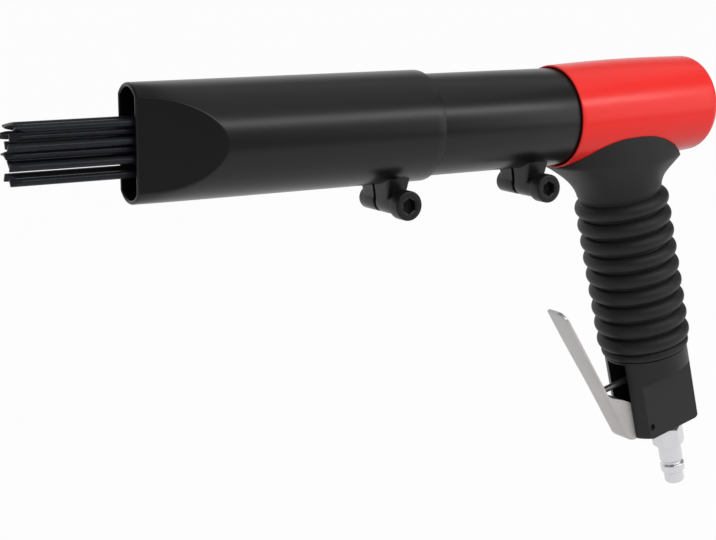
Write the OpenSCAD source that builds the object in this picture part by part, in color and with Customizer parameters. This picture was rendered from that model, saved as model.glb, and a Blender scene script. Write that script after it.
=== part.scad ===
// Pistol-grip needle scaler. +X is forward along the barrel, +Y is the left side and +Z is up.
// The origin lies on the barrel axis, at the middle of the seat where a dust shroud clamps on.

/* [Front tube] */
// Outside diameter of the front tube
front_tube_d = 45; // [42:0.5:48]
// Wall of the front tube
front_tube_wall = 1.7; // [1.4:0.05:2.2]
// Length of the front tube from its mouth to its rear edge
front_tube_len = 126; // [116:1:140]
// Distance from the shroud seat forward to the mouth
mouth_reach = 75; // [68:1:85]
// Length of each flat from the mouth to the tip of its ridge
flat_len = 30; // [24:1:36]
// Length from that ridge back to the round tube
nose_blend = 10; // [7:0.5:12]
// Clearance between the outer needles and the mouth's wall
mouth_gap = 0.8; // [0.6:0.1:3]
// Radius of the ridge along each flat
ridge_r = 1.3; // [0.8:0.1:2.5]
// Length of the round seat for a dust shroud, behind the nose
seat_run = 59; // [50:1:60]

/* [Middle tube] */
// Length of the middle tube
mid_tube_len = 129; // [120:1:134]
// Wall of the middle tube
mid_tube_wall = 1.6; // [1.4:0.05:1.9]
// Inward depth of the lip that keeps the spring retainer
mid_lip = 3.2; // [2.4:0.1:3.6]
// Length of that lip
mid_lip_len = 2; // [1.5:0.1:3]

/* [Clamps] */
// Distance of the front clamp screw ahead of the front tube's rear edge
front_clamp_inset = 15; // [10:0.5:22]
// Distance of the rear clamp screw ahead of the middle tube's rear end
rear_clamp_inset = 17.5; // [15:0.5:21]
// Drop of a clamp screw below the skin of its tube
clamp_drop = 7; // [6:0.1:9]
// Diameter of the round lugs
lug_d = 9.4; // [8.6:0.1:11]
// Distance from the slit's middle to the end of the near lug
near_lug_len = 13; // [11:0.5:15]
// Distance from the slit's middle to the end of the far lug
far_lug_len = 12; // [10:0.5:15]
// Length of the web along the tube, where it meets the skin
web_len = 11; // [10:0.2:16]
// Distance from the slit's middle to the side of the web at the lugs
web_foot_w = 9; // [6:0.2:10]
// Distance from the slit's middle to the side of the web at the skin
web_root_w = 14.4; // [12:0.2:15]
// Width of the slit that closes when the screw is tightened
slit_w = 1.7; // [1.2:0.1:2.5]
// Length of the slit
slit_len = 42; // [34:1:48]
// Thread diameter of the clamp screws
screw_d = 6; // [5:0.5:6]
// Head diameter of the clamp screws
screw_head_d = 11.2; // [9.6:0.1:12]
// Head height of the clamp screws
screw_head_h = 6; // [5:0.1:7]
// Width over the flats of the screw's hexagon socket
socket_w = 5.6; // [4:0.1:6]
// Depth of the screw's hexagon socket
socket_depth = 3.6; // [2.5:0.1:4]

/* [Needles] */
// Needle diameter
needle_d = 3; // [2.6:0.1:3.1]
// Needle length
needle_len = 180; // [174:1:184]
// Growth in diameter of the upset head at the needle's rear end
needle_upset = 0.6; // [0.4:0.05:0.7]
// Length of that head
needle_head_len = 2.5; // [2:0.1:3]
// How far a needle floats in the holder, end to end
needle_float = 3.6; // [3:0.1:4.5]
// Least gap between the rows of needles
row_gap = 0.3; // [0.3:0.05:0.5]
// Gap from the middle plane to the inner needles
col_gap = 0.45; // [0.4:0.05:0.6]
// Length of the chisel ground on each tip
chisel_len = 4; // [2.5:0.1:6]
// Width of the flat left at the chisel's end
chisel_flat = 0.7; // [0.4:0.1:1.2]
// Length of the needle holder
holder_len = 15; // [13:0.5:17]

/* [Hammer] */
// Length of the cylinder inside the middle tube
cylinder_spigot_len = 44.3; // [40:0.1:48]
// Wall of the cylinder's rear body
cylinder_wall = 5.25; // [4.8:0.05:6]
// Clearance between that body and the cover
cylinder_room = 1.35; // [0.8:0.05:1.8]
// Room behind the piston at rest
piston_room = 0.6; // [0.5:0.1:1]
// Length of the flange that carries the cover's mouth
cylinder_flange_len = 5; // [3:0.5:8]
// Piston length
piston_len = 46; // [40:1:50]
// Piston stroke
piston_stroke = 30; // [25:1:32]
// Step from the hammer bore down to the anvil's shank
anvil_step = 2.05; // [1.5:0.05:3]
// Clearance of the anvil's head inside the middle tube
anvil_head_gap = 3.7; // [1:0.1:5]
// Length of the anvil's head
anvil_head_len = 13; // [10:0.5:15]
// Length of the anvil's shank inside the front bush of the cylinder
anvil_bush_len = 25; // [20:0.5:27]
// How far the shank reaches into the hammer bore
anvil_strike_len = 3; // [2:0.5:4]
// Thickness of the rubber buffer behind the anvil's head
buffer_len = 4; // [3:0.5:5]
// Wire diameter of the return spring
spring_wire = 2.4; // [1.8:0.1:2.6]
// Turns of the return spring
spring_turns = 9; // [6:1:10]
// Thickness of the spring retainer
retainer_len = 4; // [3:0.5:5]
// Width of the spring retainer's ring
retainer_w = 4.2; // [3.6:0.1:5]

/* [Rear valve] */
// Ledge of the valve plate beyond the hammer bore
valve_ledge = 2.95; // [2:0.05:3.2]
// Thickness of the valve plate
valve_plate_len = 3; // [2:0.5:4]
// Length of the valve cap
valve_cap_len = 8; // [6:0.5:8]
// Diameter of the valve disc
valve_disc_d = 16; // [12:0.5:20]
// Thickness of the valve disc
valve_disc_len = 1; // [0.8:0.1:1.5]
// Travel of the valve disc
valve_travel = 0.9; // [0.6:0.1:1.2]

/* [Rear cover] */
// Clearance of the cover's mouth round the middle tube
cover_gap = 0.35; // [0.3:0.05:0.8]
// Drop in the cover's radius from its front edge to its rear end
cover_taper = 0.6; // [0.2:0.1:1.2]
// Rise of the cover's axis from its front edge to its rear end
cover_lift = 2.5; // [1.5:0.1:2.8]
// Room between the cylinder and the cover's end
cover_room = 4.9; // [4:0.05:8]
// Wall of the cover
cover_wall = 1.4; // [1.2:0.1:1.8]
// Bulge of the cover's side between its front edge and its rear edge
cover_bulge = 0.6; // [0:0.1:1.2]
// Radius of the cover's rear edge
cover_edge_r = 7; // [3:0.5:9]
// Distance from the shroud seat back to the cover's front edge
cover_setback = 119.5; // [118:0.5:121]
// Overlap of the cover's front edge past the middle tube's rear end
cover_lap = 3.5; // [2.5:0.5:5]

/* [Handle] */
// Distance from the cover's front edge back to the handle's axis on the barrel axis
handle_inset = 32.1; // [31:0.1:34]
// Rake of the handle, with its foot to the rear
handle_rake = 13.9; // [10:0.1:16]
// Diameter of the bar inside the grip
bar_d = 34; // [32:0.2:34.4]
// Diameter of the threaded spigot at the top of the handle
spigot_d = 16; // [12:0.5:18]
// Land left between that spigot and the hammer bore
spigot_land = 0.6; // [0.4:0.1:1]
// Length of the base
base_len = 38.4; // [36:0.1:42]
// Step from the bar out to the base
base_step = 1.9; // [1.2:0.1:2.5]
// Width over the flats on the base's sides
base_flat_w = 24; // [23:0.2:27]
// Length of those flats
base_flat_len = 30.2; // [26:0.2:33]
// Radius of the arc that ends those flats above
flat_arc_r = 76; // [60:1:90]
// Distance of that arc's highest place behind the handle's axis
flat_arc_back = 6.4; // [4:0.1:9]
// Radius of the base's foot edge
base_round = 1.6; // [0.8:0.1:3.2]
// Width of the lever slot in the base
slot_w = 12; // [11.4:0.1:13]
// Distance of the slot's floor ahead of the handle's axis
slot_floor = 7.5; // [7:0.1:8]
// Collar of full round left above the slot
slot_collar = 1; // [0.6:0.1:2]
// Diameter of the air passages in the handle
passage_d = 7; // [5:0.5:8]

/* [Grip] */
// Thickness of the grip at its ribs
grip_thick = 4.1; // [3.4:0.1:5]
// Radius of a rib's round
rib_round = 4.5; // [4.2:0.1:5.4]
// Spacing of the ribs
rib_pitch = 7.89; // [7.4:0.01:8]
// Number of ribs
rib_count = 9; // [7:1:9]
// Depth of the collar's foot below the barrel axis, along the handle
collar_foot = 36.6; // [36:0.1:37.4]
// Distance from the collar's foot to the middle of the first rib
first_rib_drop = 5.3; // [4.6:0.1:6]
// Distance from the last rib's middle to the base
grip_tail = 7.58; // [6:0.02:10]
// Half length of the collar where it meets the cover
collar_half_len = 33.4; // [32:0.1:35]
// Thickness of the collar at its sides, where it meets the cover
collar_side = 3.4; // [2.8:0.1:4]
// Thickness of the collar at its foot
collar_foot_thick = 2; // [1.4:0.1:3]
// Distance of the collar's widest outline below the barrel axis
collar_brim = 21.6; // [20.6:0.1:23]
// Lead of the collar's middle ahead of the handle's axis
collar_lead = 1; // [-1:0.1:3]
// Radius of the lip at the grip's lower end
lip_round = 1.7; // [1.2:0.1:2]

/* [Lever] */
// Distance of the lever pin above the base's foot
pin_rise = 5.8; // [5:0.1:7]
// Distance of the lever pin ahead of the slot's floor
pin_clear = 5.2; // [5:0.1:6]
// Lever pin diameter
pin_d = 3; // [2.5:0.1:3.6]
// How far each end of the pin lies below the flat
pin_recess = 2; // [1:0.1:2.5]
// Lean of the lever's blade away from the handle
lever_lean = 18.4; // [17:0.1:20]
// Distance from the pin to the blade's outer face
blade_ahead = 10.8; // [10.2:0.1:11.4]
// Height of the blade's tip above the pin, along the blade
blade_top = 74.1; // [66:0.1:76]
// Sheet thickness of the lever
sheet = 1.5; // [1.2:0.1:1.8]
// Width of the blade
blade_w = 11.8; // [11.4:0.2:13]
// Radius of the blade's corner on the left side
blade_corner_r = 4.8; // [3:0.1:5.4]
// Radius of the blade's corner on the right side
blade_small_corner_r = 1; // [0.6:0.1:2]
// Length of the side flanges along the blade
flange_len = 25; // [22:0.5:28]
// Radius of the flanges round the pin
flange_boss_r = 4.4; // [4:0.1:4.6]
// Inside radius of the bend at the lever's heel
heel_bend_r = 4; // [3:0.1:4.4]
// Reach of the heel behind the pin
heel_reach = 6.5; // [5:0.1:7]

/* [Throttle] */
// Distance of the throttle's axis below the base's top
throttle_inset = 10.9; // [9:0.1:12]
// Plunger diameter
plunger_d = 3; // [2.4:0.1:3.4]
// Diameter of the plunger's poppet
poppet_d = 9; // [8:0.1:10]
// Length of the poppet
poppet_len = 3; // [2:0.1:4]
// Plunger travel
plunger_travel = 6; // [5:0.1:6.4]
// Diameter of the throttle chamber
chamber_d = 12; // [11.4:0.1:13]
// Length of the valve seat bush
seat_len = 2.5; // [2:0.1:3]
// Opening of the valve seat
seat_hole_d = 6; // [5:0.1:7]
// Recess of the plug that closes the chamber at the rear
plug_recess = 1; // [0.5:0.1:2]
// Length of the throttle spring when it is pressed together
spring_pressed = 3.3; // [3:0.1:4]
// Wire diameter of the throttle spring
throttle_wire = 0.6; // [0.5:0.1:0.7]
// Turns of the throttle spring
throttle_turns = 4; // [3:1:5]

/* [Air inlet] */
// Distance of the nipple's axis ahead of the base's rear
nipple_ahead = 14.1; // [13:0.1:15]
// Width over the flats of the nipple's hexagon
hex_w = 13; // [12:0.1:14]
// Length of the neck between the foot and the hexagon
nipple_neck_len = 4; // [2.5:0.1:5]
// Length of the hexagon
hex_len = 9; // [7:0.1:11]
// Diameter of the nipple's body
nipple_body_d = 10.8; // [10:0.1:11.6]
// Length of the nipple's body
nipple_body_len = 8.6; // [7:0.1:10]
// Diameter of the nipple's locking ring
nipple_ring_d = 11.2; // [10:0.1:11.6]
// Length of that ring
nipple_ring_len = 5.8; // [4.6:0.1:6.6]
// Diameter of the nipple's nose
nipple_nose_d = 9.2; // [8.4:0.1:9.8]
// Length of the nose
nipple_nose_len = 5.4; // [4.6:0.1:7]
// Diameter of the air bore through the nipple
nipple_bore_d = 5; // [4:0.1:6]
// Length of the nipple's thread inside the foot
nipple_thread_len = 9; // [7:0.1:10]

/* [Hidden] */
$fn = 96;
// Clearance of a fit that runs or slides
fit_gap = 0.05;
// Clearance of pieces that only pass each other
free_gap = 0.3;
// Overrun of every cut
over = 1;
// Shrink of the pressed nose where it is let into the round tube
nose_step = 0.04;
// Length of that let-in part
nose_let_in = 1;
// Relief of the front tube's skin behind the shroud seat
seat_relief = 0.5;
// Length over which the skin falls to that relief
seat_fall = 5;

// Outer needles stand a share of a needle's diameter outside the inner ones
col_step_share = 0.8;
row_pitch = needle_d + row_gap;
col_inner = needle_d / 2 + col_gap;
col_outer = col_inner + col_step_share * needle_d;
needle_head_d = needle_d + needle_upset;

front_r = front_tube_d / 2;
front_bore_r = front_r - front_tube_wall;
front_rear_x = mouth_reach - front_tube_len;
mouth_half = col_outer + needle_d / 2 + mouth_gap + front_tube_wall;
nose_len = flat_len + nose_blend;
nose_x = mouth_reach - nose_len;
seat_rear_x = nose_x - seat_run;
mid_r = front_bore_r - fit_gap;
mid_bore_r = mid_r - mid_tube_wall;
mid_rear_x = -cover_setback - cover_lap;
mid_front_x = mid_rear_x + mid_tube_len;
front_clamp_x = front_rear_x + front_clamp_inset;
rear_clamp_x = mid_rear_x + rear_clamp_inset;

cover_r = mid_r + cover_gap + cover_wall;
cover_rear_r = cover_r - cover_taper;
cylinder_r = cover_rear_r - cover_lift - cover_wall - cylinder_room;
cylinder_bore_r = cylinder_r - cylinder_wall;
valve_r = cylinder_bore_r + valve_ledge;
anvil_shank_r = cylinder_bore_r - anvil_step;
anvil_head_r = mid_bore_r - anvil_head_gap;

cylinder_front_x = mid_rear_x + cylinder_spigot_len;
bush_rear_x = cylinder_front_x - anvil_bush_len;
anvil_rear_x = bush_rear_x - anvil_strike_len;
piston_front_x = anvil_rear_x - free_gap - piston_stroke;
piston_rear_x = piston_front_x - piston_len;
valve_pocket_x = piston_rear_x - piston_room;
valve_cap_x = valve_pocket_x - valve_plate_len - fit_gap;
cylinder_rear_x = valve_cap_x - valve_cap_len;
disc_room = valve_disc_len + valve_travel + 2 * fit_gap;
cover_len = -cover_setback - cylinder_rear_x + cover_room + cover_wall;
cover_tilt = atan(cover_lift / cover_len);

buffer_back_x = cylinder_front_x + fit_gap;
anvil_back_x = buffer_back_x + buffer_len + fit_gap;
anvil_face_x = anvil_back_x + anvil_head_len;
holder_rear_x = anvil_face_x + fit_gap;
holder_front_x = holder_rear_x + holder_len;
needle_rear_x = holder_rear_x + needle_float / 2 + free_gap;
holder_seat_x = needle_rear_x + needle_head_len + needle_float / 2 + free_gap;

// Places of the needles: rows as shares of the row pitch, with the left column first
row_shares = [2.5, 1.5, 0.5, -0.5, -1.6, -3.3, 2.6, 1.6, 0.6, -0.4, -1.45, -2.95];
// Rest of each needle in its float, as shares of it
rest_shares = [-0.42, -0.1, 0.3, 0.42, 0.2, 0, 0.05, 0.25, 0, 0.1, -0.25, -0.05];
// Turn of each chisel about its needle, as shares of half a turn
turn_shares = [0.12, 0.55, 0.3, 0.85, 0.42, 0.68, 0.95, 0.22, 0.6, 0.05, 0.75, 0.35];
needle_count = len(row_shares);
column_len = needle_count / 2;
function needle_side(i) = i < column_len ? 1 : -1;
function needle_is_inner(i) = (i < column_len) == (i % 2 == 1);
function needle_y(i) = needle_side(i) * (needle_is_inner(i) ? col_inner : col_outer);
function needle_z(i) = row_shares[i] * row_pitch;
function needle_name(i) = str("needle_", i < 9 ? "0" : "", i + 1);

retainer_front_x = mid_front_x - mid_lip_len - fit_gap;
spring_front_x = retainer_front_x - retainer_len - free_gap;
spring_rear_x = holder_front_x + free_gap;
spring_r = mid_bore_r - retainer_w / 2;

handle_setback = cover_setback + handle_inset;
bar_r = bar_d / 2;
rib_r = bar_r + grip_thick;
collar_foot_r = bar_r + collar_foot_thick;
collar_half_w = bar_r + collar_side;
barrel_seat_r = cylinder_r + fit_gap;
saddle_top = cylinder_r / 2;
spigot_r = spigot_d / 2;
spigot_top = (cylinder_bore_r + spigot_land + spigot_r * sin(handle_rake)) / cos(handle_rake);
first_rib = collar_foot + first_rib_drop;
base_top = first_rib + rib_pitch * (rib_count - 1) + grip_tail;
base_foot = base_top + base_len;
base_r = bar_r + base_step;
slot_half = slot_w / 2;
grip_end = base_top - fit_gap;

pin_drop = base_foot - pin_rise;
pin_ahead = slot_floor + pin_clear;
inner_face = blade_ahead - sheet;
blade_half = blade_w / 2;
flange_half = slot_half - free_gap;
bend_up = heel_bend_r - pin_rise - free_gap;
bend_x = inner_face - heel_bend_r;
bend_s = (bend_x + bend_up * sin(lever_lean)) / cos(lever_lean);
bend_z = bend_s * sin(lever_lean) + bend_up * cos(lever_lean);

throttle_drop = base_top + throttle_inset;
plunger_r = plunger_d / 2;
// The blade's inner face where the plunger's axis crosses it, ahead of the handle's axis
blade_at_plunger = pin_ahead + inner_face / cos(lever_lean)
    + (pin_drop - throttle_drop) * tan(lever_lean);
plunger_tip = blade_at_plunger - (plunger_r + 2 * fit_gap) / cos(lever_lean);
poppet_front = -seat_len - 2 * fit_gap;
poppet_rear = poppet_front - poppet_len;
plug_front = poppet_rear - plunger_travel - spring_pressed;
plug_rear = -base_r + plug_recess;
throttle_spring_r = poppet_d / 2 - throttle_wire - free_gap;
seal_round = 0.7;
seal_at = (slot_floor + seat_hole_d / 2) / 2 + seal_round;
nipple_behind = base_r - nipple_ahead;

// Round bar along X from x0 to x1
module bar_x(x0, x1, r) {
    translate([x0, 0, 0]) rotate([0, 90, 0]) cylinder(h = x1 - x0, r = r);
}

// Ring along X from x0 to x1
module ring_x(x0, x1, r, hole_r) {
    difference() {
        bar_x(x0, x1, r);
        bar_x(x0 - over, x1 + over, hole_r);
    }
}

// Round bar along Y from y0 to y1
module bar_y(y0, y1, r) {
    translate([0, y1, 0]) rotate([90, 0, 0]) cylinder(h = y1 - y0, r = r);
}

// Frame of the handle: X points ahead, square to the handle, and Z up along it
module in_handle() {
    translate([-handle_setback, 0, 0]) rotate([0, handle_rake, 0]) children();
}

// Round bar along the handle between two depths
module bar_down(top, foot, r) {
    translate([0, 0, -foot]) cylinder(h = foot - top, r = r);
}

// Round bar square to the handle at the throttle's depth, from s0 to s1 ahead of its axis
module throttle_bar(s0, s1, r) {
    translate([0, 0, -throttle_drop]) bar_x(s0, s1, r);
}

// Frame of the lever: origin on the pin, Z up along the blade and X ahead, square to it
module in_lever() {
    in_handle() translate([pin_ahead, 0, -pin_drop]) rotate([0, lever_lean, 0]) children();
}

// Skin over closed rings of equally many points, with flat ends
module loft(rings) {
    n = len(rings[0]);
    m = len(rings);
    sides = [for (k = [0 : m - 2], i = [0 : n - 1]) each [
        [k * n + i, k * n + (i + 1) % n, (k + 1) * n + i],
        [k * n + (i + 1) % n, (k + 1) * n + (i + 1) % n, (k + 1) * n + i]]];
    ends = [[for (i = [n - 1 : -1 : 0]) i], [for (i = [0 : n - 1]) (m - 1) * n + i]];
    polyhedron(points = [for (r = rings) each r], faces = concat(sides, ends));
}

// Wall between an outer and an inner set of rings, open at both ends
module wall_loft(outer, inner) {
    n = len(outer[0]);
    m = len(outer);
    base = n * m;
    function quad(a, b, c, d) = [[c, b, a], [d, c, a]];
    skin = [for (k = [0 : m - 2], i = [0 : n - 1]) let (j = (i + 1) % n) each concat(
        quad(k * n + i, k * n + j, (k + 1) * n + j, (k + 1) * n + i),
        quad(base + k * n + i, base + (k + 1) * n + i, base + (k + 1) * n + j, base + k * n + j))];
    rims = [for (i = [0 : n - 1]) let (j = (i + 1) % n, last = (m - 1) * n) each concat(
        quad(i, base + i, base + j, j),
        quad(last + i, last + j, base + last + j, base + last + i))];
    points = concat([for (r = outer) each r], [for (r = inner) each r]);
    polyhedron(points = points, faces = concat(skin, rims));
}

// Tube of wire wound about X, with its centre line from x0 to x1
coil_sides = 6;
coil_steps = 8;
module coil_x(x0, x1, r, wire, turns) {
    steps = turns * coil_steps;
    loft([for (k = [0 : steps]) let (a = 360 * k / coil_steps, x = x0 + (x1 - x0) * k / steps)
        [for (i = [0 : coil_sides - 1]) let (b = 360 * i / coil_sides, q = r + wire / 2 * cos(b))
            [x + wire / 2 * sin(b), q * cos(a), q * sin(a)]]]);
}

// Outline of the nose at distance s behind the mouth: a round tube pressed flat from both sides.
// h is the flat's distance from the middle plane, and c the radius of the corner to the round tube.
nose_sides = 96;
nose_steps = 12;
mouth_corner_share = 0.75;
corner_run_share = 0.17;
function nose_ring(s, r, inset) = let (
    h = min(r, mouth_half + (front_r - mouth_half) * s / flat_len - inset),
    c = max(nose_let_in / 4, ridge_r + (mouth_corner_share * mouth_half - ridge_r)
        * exp(-pow(s / (corner_run_share * flat_len), 2)) - inset),
    flat_top = sqrt(max(0, pow(r - c, 2) - pow(h - c, 2))),
    round_foot = flat_top * r / (r - c))
    [for (i = [0 : nose_sides - 1]) let (a = 360 * i / nose_sides, y = r * sin(a), z = r * cos(a),
        corner_y = h - c + sqrt(max(0, c * c - pow(abs(z) - flat_top, 2))),
        cut = abs(z) <= flat_top ? h : abs(z) < round_foot ? corner_y : abs(y))
        [mouth_reach - s, sign(y) * min(cut, abs(y)), z]];

// Nose of the front tube, let a little way into the round tube
module tube_nose() {
    places = concat([for (k = [0 : nose_steps]) nose_len * k / nose_steps], [nose_len + nose_let_in]);
    wall_loft([for (s = places) nose_ring(s, front_r - nose_step, 0)],
        [for (s = places) nose_ring(s, front_bore_r + nose_step, front_tube_wall)]);
}

// Pair of clamp lugs with their web, under a tube of radius tube_r
module clamp_lugs(x, tube_r, bore_r) {
    root = clamp_drop + tube_r / 3;
    translate([x, 0, -tube_r - clamp_drop]) difference() {
        union() {
            bar_y(slit_w / 2, near_lug_len, lug_d / 2);
            bar_y(-far_lug_len, -slit_w / 2, lug_d / 2);
            for (side = [0, 1]) mirror([0, side, 0]) intersection() {
                translate([0, web_root_w, 0]) rotate([90, 0, 0])
                    linear_extrude(height = web_root_w - slit_w / 2) polygon([
                        [-lug_d / 2, 0], [lug_d / 2, 0], [web_len / 2, clamp_drop], [web_len / 2, root],
                        [-web_len / 2, root], [-web_len / 2, clamp_drop]]);
                rotate([90, 0, 90]) linear_extrude(height = 2 * web_len, center = true) polygon([
                    [0, 0], [web_foot_w, 0], [web_foot_w, lug_d / 2], [web_root_w, root], [0, root]]);
            }
        }
        translate([-x, 0, tube_r + clamp_drop]) bar_x(x - web_len, x + web_len, (tube_r + bore_r) / 2);
        bar_y(-slit_w, near_lug_len + over, screw_d / 2 + free_gap);
        bar_y(-far_lug_len - over, 0, screw_d / 2 + fit_gap);
    }
}

// Slit along the bottom of a tube
module clamp_slit(x0, x1, tube_r) {
    translate([x0, -slit_w / 2, -tube_r - over]) cube([x1 - x0, slit_w, tube_r]);
}

// Socket head cap screw across a clamp, with its head on the near lug
module clamp_screw(x, tube_r) {
    translate([x, 0, -tube_r - clamp_drop]) difference() {
        union() {
            bar_y(-far_lug_len, near_lug_len + over, screw_d / 2);
            bar_y(near_lug_len + fit_gap, near_lug_len + screw_head_h, screw_head_d / 2);
        }
        translate([0, near_lug_len + screw_head_h + over, 0]) rotate([90, 0, 0])
            cylinder(h = socket_depth + over, r = socket_w / sqrt(3), $fn = 6);
    }
}

module front_tube() {
    color([0.13, 0.13, 0.13]) {
        difference() {
            union() {
                ring_x(seat_rear_x, nose_x, front_r, front_bore_r);
                ring_x(front_rear_x, seat_rear_x - seat_fall, front_r - seat_relief, front_bore_r);
                difference() {
                    translate([seat_rear_x, 0, 0]) rotate([0, -90, 0])
                        cylinder(h = seat_fall, r1 = front_r, r2 = front_r - seat_relief);
                    bar_x(front_rear_x, nose_x, front_bore_r);
                }
                clamp_lugs(front_clamp_x, front_r, front_bore_r);
                tube_nose();
            }
            clamp_slit(front_rear_x - over, front_rear_x + slit_len, front_r);
        }
    }
}

module front_clamp_screw() {
    color([0.2, 0.2, 0.2]) clamp_screw(front_clamp_x, front_r);
}

module mid_tube() {
    color([0.12, 0.12, 0.13]) difference() {
        union() {
            ring_x(mid_rear_x, mid_front_x, mid_r, mid_bore_r);
            ring_x(mid_front_x - mid_lip_len, mid_front_x, mid_r - mid_tube_wall / 2, mid_bore_r - mid_lip);
            clamp_lugs(rear_clamp_x, mid_r, mid_bore_r);
        }
        clamp_slit(mid_rear_x - over, mid_rear_x + slit_len, mid_r);
    }
}

module rear_clamp_screw() {
    color([0.2, 0.2, 0.2]) clamp_screw(rear_clamp_x, mid_r);
}

module spring_retainer() {
    color([0.5, 0.5, 0.5])
        ring_x(retainer_front_x - retainer_len, retainer_front_x, mid_bore_r - fit_gap, mid_bore_r - retainer_w);
}

module return_spring() {
    color([0.6, 0.6, 0.62])
        coil_x(spring_rear_x + spring_wire / 2, spring_front_x - spring_wire / 2, spring_r,
            spring_wire, spring_turns);
    pitch = (spring_front_x - spring_rear_x - spring_wire) / spring_turns;
    echo(str("least gap of the return spring: ", pitch - spring_wire));
}

module needle_holder() {
    color([0.45, 0.45, 0.47]) difference() {
        bar_x(holder_rear_x, holder_front_x, mid_bore_r - fit_gap);
        for (i = [0 : needle_count - 1]) translate([0, needle_y(i), needle_z(i)]) {
            bar_x(holder_rear_x - over, holder_front_x + over, needle_d / 2 + fit_gap);
            bar_x(holder_rear_x - over, holder_seat_x, needle_head_d / 2 + fit_gap);
        }
    }
}

// Needle with an upset head and a chisel ground on its tip
module needle(i) {
    rest = rest_shares[i] * needle_float;
    color([0.2, 0.2, 0.23]) translate([needle_rear_x + rest, needle_y(i), needle_z(i)]) {
        bar_x(0, needle_head_len, needle_head_d / 2);
        intersection() {
            bar_x(needle_head_len / 2, needle_len, needle_d / 2);
            rotate([turn_shares[i] * 180, 0, 0]) translate([0, needle_d, 0]) rotate([90, 0, 0])
                linear_extrude(height = 2 * needle_d) polygon([
                    [0, -needle_d], [needle_len - chisel_len, -needle_d],
                    [needle_len - chisel_len, -needle_d / 2], [needle_len, -chisel_flat / 2],
                    [needle_len, chisel_flat / 2], [needle_len - chisel_len, needle_d / 2],
                    [needle_len - chisel_len, needle_d], [0, needle_d]]);
        }
    }
}

module anvil() {
    color([0.5, 0.5, 0.52]) {
        bar_x(anvil_back_x, anvil_face_x, anvil_head_r);
        bar_x(anvil_rear_x, anvil_back_x + over, anvil_shank_r);
    }
}

module anvil_buffer() {
    color([0.1, 0.1, 0.1])
        ring_x(buffer_back_x, buffer_back_x + buffer_len, anvil_head_r, anvil_shank_r + fit_gap);
}

module cylinder_body() {
    bar_x(mid_rear_x, cylinder_front_x, mid_bore_r - fit_gap);
    flange_r = cover_r - cover_wall - free_gap
        - (cover_lap + cylinder_flange_len) * (cover_taper + cover_lift) / cover_len;
    bar_x(mid_rear_x - cylinder_flange_len, mid_rear_x - fit_gap, flange_r);
    bar_x(cylinder_rear_x, mid_rear_x + over, cylinder_r);
}

module hammer_cylinder() {
    color([0.55, 0.55, 0.57]) difference() {
        cylinder_body();
        bar_x(valve_pocket_x - over, bush_rear_x, cylinder_bore_r);
        bar_x(bush_rear_x - over, cylinder_front_x + over, anvil_shank_r + fit_gap);
        bar_x(cylinder_rear_x - over, valve_pocket_x, valve_r + fit_gap);
        in_handle() bar_down(spigot_top, 2 * cylinder_r, spigot_r + fit_gap);
        in_handle() bar_down(0, 2 * cylinder_r, passage_d / 2);
    }
}

module piston() {
    color([0.7, 0.7, 0.72]) difference() {
        bar_x(piston_rear_x, piston_front_x, cylinder_bore_r - fit_gap);
        bar_x(piston_rear_x - over, piston_rear_x + piston_len / 3, cylinder_bore_r / 2);
    }
}

module valve_plate() {
    color([0.6, 0.58, 0.5])
        ring_x(valve_pocket_x - valve_plate_len, valve_pocket_x - fit_gap, valve_r, valve_disc_d / 4);
}

module valve_disc() {
    color([0.75, 0.75, 0.77])
        bar_x(valve_cap_x - fit_gap - valve_travel - valve_disc_len, valve_cap_x - fit_gap - valve_travel,
            valve_disc_d / 2);
}

module valve_cap() {
    color([0.5, 0.5, 0.5]) difference() {
        bar_x(cylinder_rear_x + fit_gap, valve_cap_x, valve_r);
        bar_x(valve_cap_x - disc_room, valve_cap_x + over, valve_disc_d / 2 + fit_gap);
        bar_x(cylinder_rear_x + valve_cap_len / 2, valve_cap_x + over, valve_disc_d / 4);
    }
}

// Solid of the cover's skin, moved inwards by inset and run out in front by lead: a tilted cone with
// a slight bulge and a rounded rear edge, so that its underside rises to the rear
edge_steps = 10;
side_steps = 12;
module cover_form(inset, lead) {
    edge = cover_edge_r - inset;
    slope = cover_taper / cover_len;
    edge_z = cover_len - cover_edge_r;
    edge_r = cover_r - inset - slope * edge_z;
    translate([-cover_setback, 0, 0]) rotate([0, -90 + cover_tilt, 0]) rotate_extrude() polygon(concat(
        [[0, -lead], [cover_r - inset + slope * lead, -lead]],
        [for (k = [1 : side_steps - 1]) let (share = k / side_steps)
            [cover_r - inset - slope * edge_z * share + cover_bulge * sin(180 * share), edge_z * share]],
        [for (k = [0 : edge_steps]) let (a = 90 * k / edge_steps)
            [edge_r - edge + edge * cos(a), edge_z + edge * sin(a)]],
        [[0, edge_z + edge]]));
}

module rear_cover() {
    color([0.85, 0.1, 0.08]) difference() {
        cover_form(0, 0);
        cover_form(cover_wall, over);
        in_handle() bar_down(0, first_rib, bar_r + free_gap);
    }
}

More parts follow.
